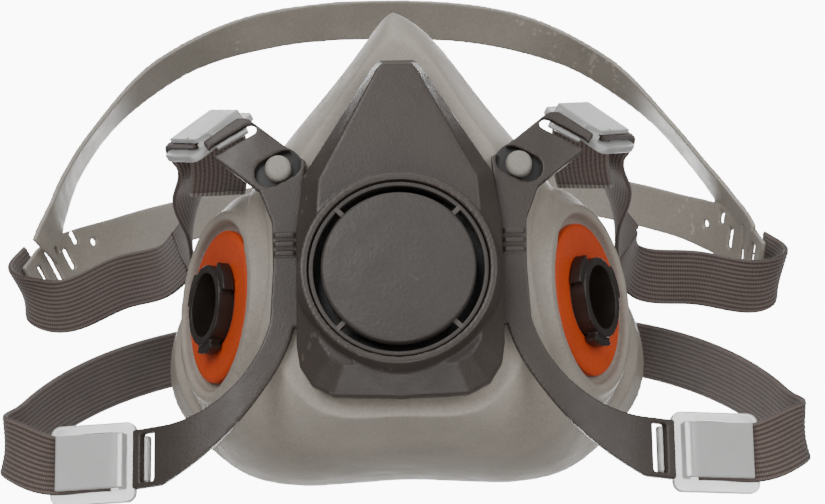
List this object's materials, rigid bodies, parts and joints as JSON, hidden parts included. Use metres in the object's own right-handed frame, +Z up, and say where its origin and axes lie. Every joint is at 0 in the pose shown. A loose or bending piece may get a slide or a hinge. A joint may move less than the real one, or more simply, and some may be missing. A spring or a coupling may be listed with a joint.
{
  "type": "respirator",
  "caption": "Reusable half-mask respirator: soft rubber facepiece, two side ports with gaskets, front exhalation valve, harness yoke, buckled elastic straps and a head cradle.",
  "frame": {"origin": "middle of the face opening, where the wearer's face lies", "axes": "+Z up, the exhalation valve faces -Y, +X to the right as seen from the front; the moulded front leans back 16 degrees"},
  "size_m": [0.227, 0.1876, 0.1404],
  "materials": {
    "seal_rubber": "matte warm grey rubber",
    "dark_plastic": "finely grained dark grey",
    "port_plastic": "satin brown black",
    "gasket_rubber": "matte orange red",
    "flap_rubber": "thin amber rubber",
    "clear_plastic": "milky translucent",
    "elastic": "ribbed dark grey brown elastic",
    "cradle_plastic": "satin mid grey"
  },
  "bodies": {
    "facepiece": {"face_seal": "seal_rubber", "front_housing": "dark_plastic", "valve_seat": "dark_plastic", "inhalation_port_left": "port_plastic", "port_gasket_left": "gasket_rubber", "inhalation_port_right": "port_plastic", "port_gasket_right": "gasket_rubber", "harness_yoke": "dark_plastic", "retaining_peg_left": "seal_rubber", "retaining_peg_right": "seal_rubber"},
    "cover": {"exhalation_cover": "dark_plastic"},
    "exhale_flap": {"exhalation_flap": "flap_rubber"},
    "inhale_flap_left": {"inhalation_flap_left": "flap_rubber"},
    "inhale_flap_right": {"inhalation_flap_right": "flap_rubber"},
    "upper_left": {"upper_buckle_left": "clear_plastic", "upper_strap_drop_left": "elastic"},
    "upper_right": {"upper_buckle_right": "clear_plastic", "upper_strap_drop_right": "elastic"},
    "lower_left": {"lower_buckle_left": "clear_plastic", "lower_strap_left": "elastic", "clasp_hook": "dark_plastic"},
    "lower_right": {"lower_buckle_right": "clear_plastic", "lower_strap_right": "elastic", "clasp_loop": "dark_plastic"},
    "crown": {"head_cradle": "cradle_plastic", "upper_strap_run_left": "elastic", "upper_strap_run_right": "elastic"}
  },
  "joints": [
    {"name": "cover_pull", "type": "slide", "parent": "facepiece", "child": "cover", "axis": [0, -0.9613, 0.2756], "range_m": [0, 0.025]},
    {"name": "exhale_lift", "type": "slide", "parent": "facepiece", "child": "exhale_flap", "axis": [0, -0.9613, 0.2756], "range_m": [0, 0.0018], "stiffness_N_per_m": 20},
    {"name": "inhale_lift_left", "type": "slide", "parent": "facepiece", "child": "inhale_flap_left", "axis": [0.891, 0.4364, -0.1251], "range_m": [0, 0.0015], "stiffness_N_per_m": 20},
    {"name": "inhale_lift_right", "type": "slide", "parent": "facepiece", "child": "inhale_flap_right", "axis": [-0.891, 0.4364, -0.1251], "range_m": [0, 0.0015], "stiffness_N_per_m": 20},
    {"name": "upper_buckle_tilt_left", "type": "hinge", "parent": "facepiece", "child": "upper_left", "pos_m": [-0.04423, -0.05977, 0.0399], "axis": [-0.8739, 0.0395, -0.4846], "range_deg": [-8, 0]},
    {"name": "upper_buckle_tilt_right", "type": "hinge", "parent": "facepiece", "child": "upper_right", "pos_m": [0.04423, -0.05977, 0.0399], "axis": [-0.8739, -0.0395, 0.4846], "range_deg": [-8, 0]},
    {"name": "lower_strap_swing_left", "type": "hinge", "parent": "facepiece", "child": "lower_left", "pos_m": [-0.06752, -0.07261, -0.04422], "axis": [0, 0.2756, 0.9613], "range_deg": [0, 15]},
    {"name": "lower_strap_swing_right", "type": "hinge", "parent": "facepiece", "child": "lower_right", "pos_m": [0.06752, -0.07261, -0.04422], "axis": [0, -0.2756, -0.9613], "range_deg": [0, 15]},
    {"name": "crown_swing", "type": "hinge", "parent": "facepiece", "child": "crown", "pos_m": [0, 0.0015, 0.0055], "axis": [1, 0, 0], "range_deg": [-15, 30]}
  ]
}
